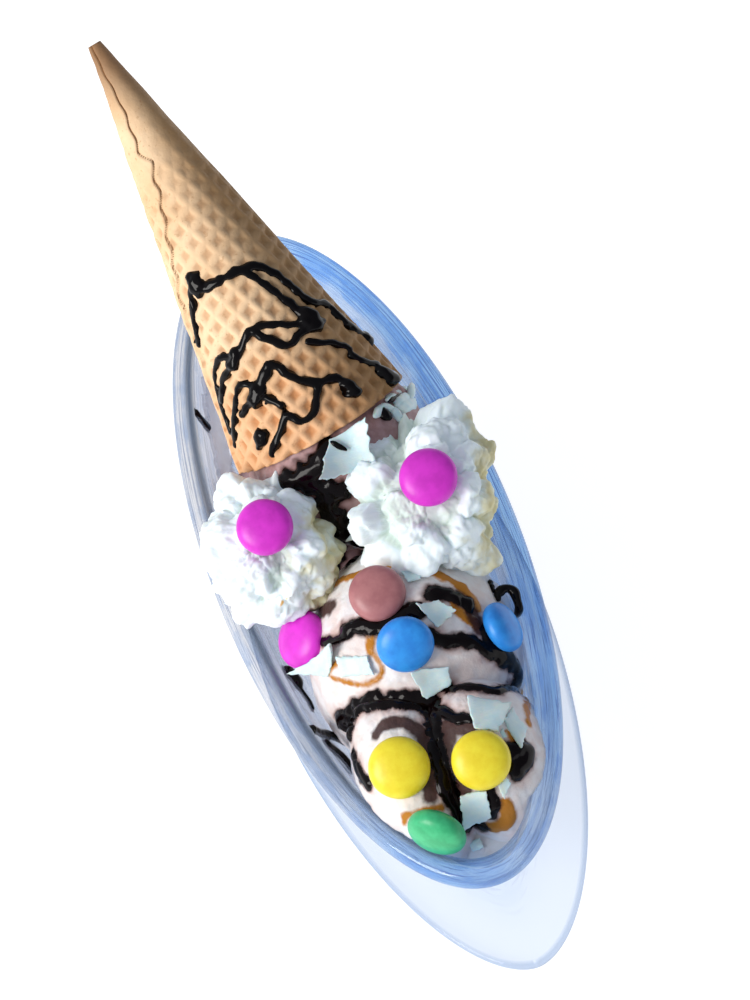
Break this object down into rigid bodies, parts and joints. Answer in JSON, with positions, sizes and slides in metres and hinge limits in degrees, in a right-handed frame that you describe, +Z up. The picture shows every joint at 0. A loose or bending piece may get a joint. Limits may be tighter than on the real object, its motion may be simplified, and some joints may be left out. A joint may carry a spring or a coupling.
{
  "type": "ice cream sundae",
  "caption": "Ice cream sundae made to look like a face: an oval footed glass dish with scoops, whipped cream, sugar-coated candies, flakes, sauce and a leaning waffle cone as a hat.",
  "frame": {"origin": "centre of the flat underside of the glass foot", "axes": "+Y along the dish's long axis, from the near end with the small front scoops towards the end with the cone; +Z up; +X to the right when looking along +Y"},
  "size_m": [0.0789, 0.2084, 0.1496],
  "materials": {
    "glass": "clear and glossy",
    "wafer": "matt baked wafer",
    "chocolate": "soft and moist",
    "vanilla": "soft and moist",
    "cream": "soft and matt",
    "white_chocolate": "satin",
    "magenta": "satin sugar coat",
    "mauve": "satin sugar coat",
    "blue": "satin sugar coat",
    "yellow": "satin sugar coat",
    "green": "satin sugar coat"
  },
  "bodies": {
    "root": {"glass_dish": "glass", "waffle_cone": "wafer", "chocolate_scoop": "chocolate", "vanilla_centre": "vanilla", "vanilla_left": "vanilla", "vanilla_right": "vanilla", "melted_ice_cream": "vanilla", "whipped_cream_left": "cream", "whipped_cream_right": "cream", "candy_magenta_left_eye": "magenta", "candy_magenta_right_eye": "magenta", "candy_mauve_nose": "mauve", "candy_blue_centre": "blue", "candy_magenta_side": "magenta", "candy_blue_side": "blue", "candy_yellow_left": "yellow", "candy_yellow_right": "yellow", "candy_green": "green", "flake_by_cone": "white_chocolate", "flake_top_right": "white_chocolate", "flake_left_back": "white_chocolate", "flake_left_front": "white_chocolate", "flake_middle": "white_chocolate", "flake_right": "white_chocolate", "flake_right_edge": "white_chocolate", "flake_near": "white_chocolate"}
  },
  "joints": []
}
